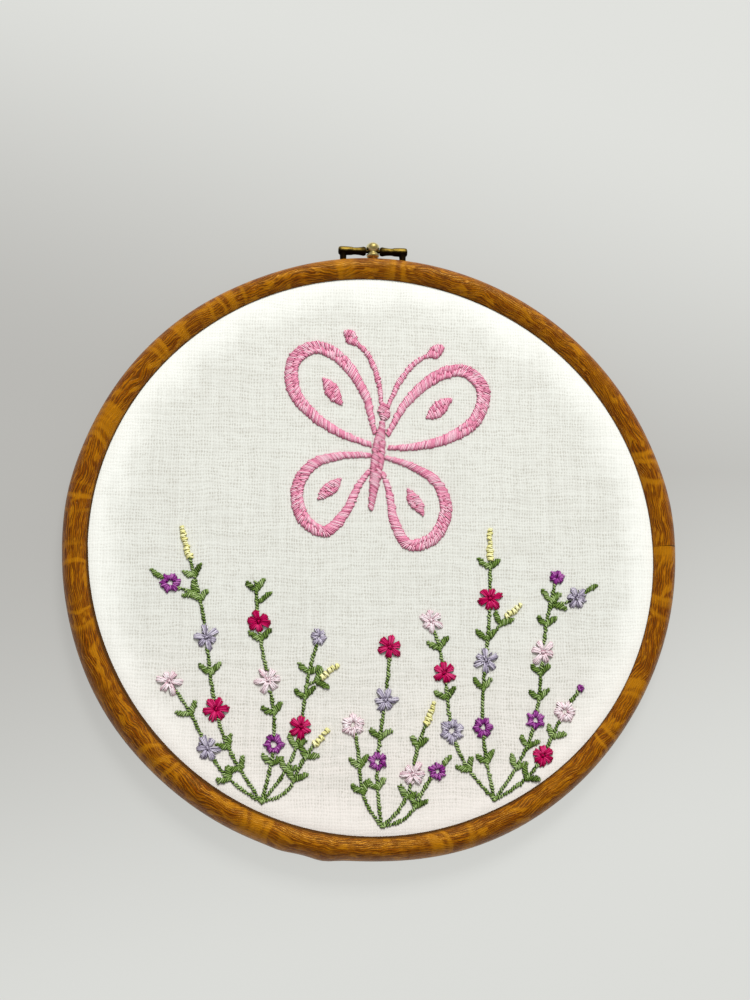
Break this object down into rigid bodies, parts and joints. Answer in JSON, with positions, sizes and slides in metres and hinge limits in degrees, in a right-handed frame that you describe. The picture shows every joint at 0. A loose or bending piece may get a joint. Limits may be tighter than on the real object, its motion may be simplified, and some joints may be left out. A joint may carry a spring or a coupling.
{
  "type": "embroidered cloth in a round display hoop",
  "caption": "Round off-white cloth with stitched flowers and a pink motif, held taut in a faux-wood hoop with a small brass hanger.",
  "frame": {"origin": "on the surface that the hoop lies on, under the middle of the whole piece, which is 3.2 mm above the ring's centre towards the hanger", "axes": "+Z out of the stitched face, +Y towards the hanger, +X to the right of the picture"},
  "size_m": [0.2192, 0.2256, 0.012],
  "materials": {
    "faux_wood_ring": "satin moulded faux-wood grain",
    "rigid_ring": "plain moulded plastic",
    "stitched_cloth": "off-white plain weave with satin-stitched thread",
    "antique_brass": "dark antique brass",
    "polished_brass": "bright polished brass"
  },
  "bodies": {
    "root": {"outer_ring": "faux_wood_ring", "inner_ring": "rigid_ring", "cloth": "stitched_cloth", "hanger_bar": "antique_brass", "hanger_finial": "polished_brass"}
  },
  "joints": []
}
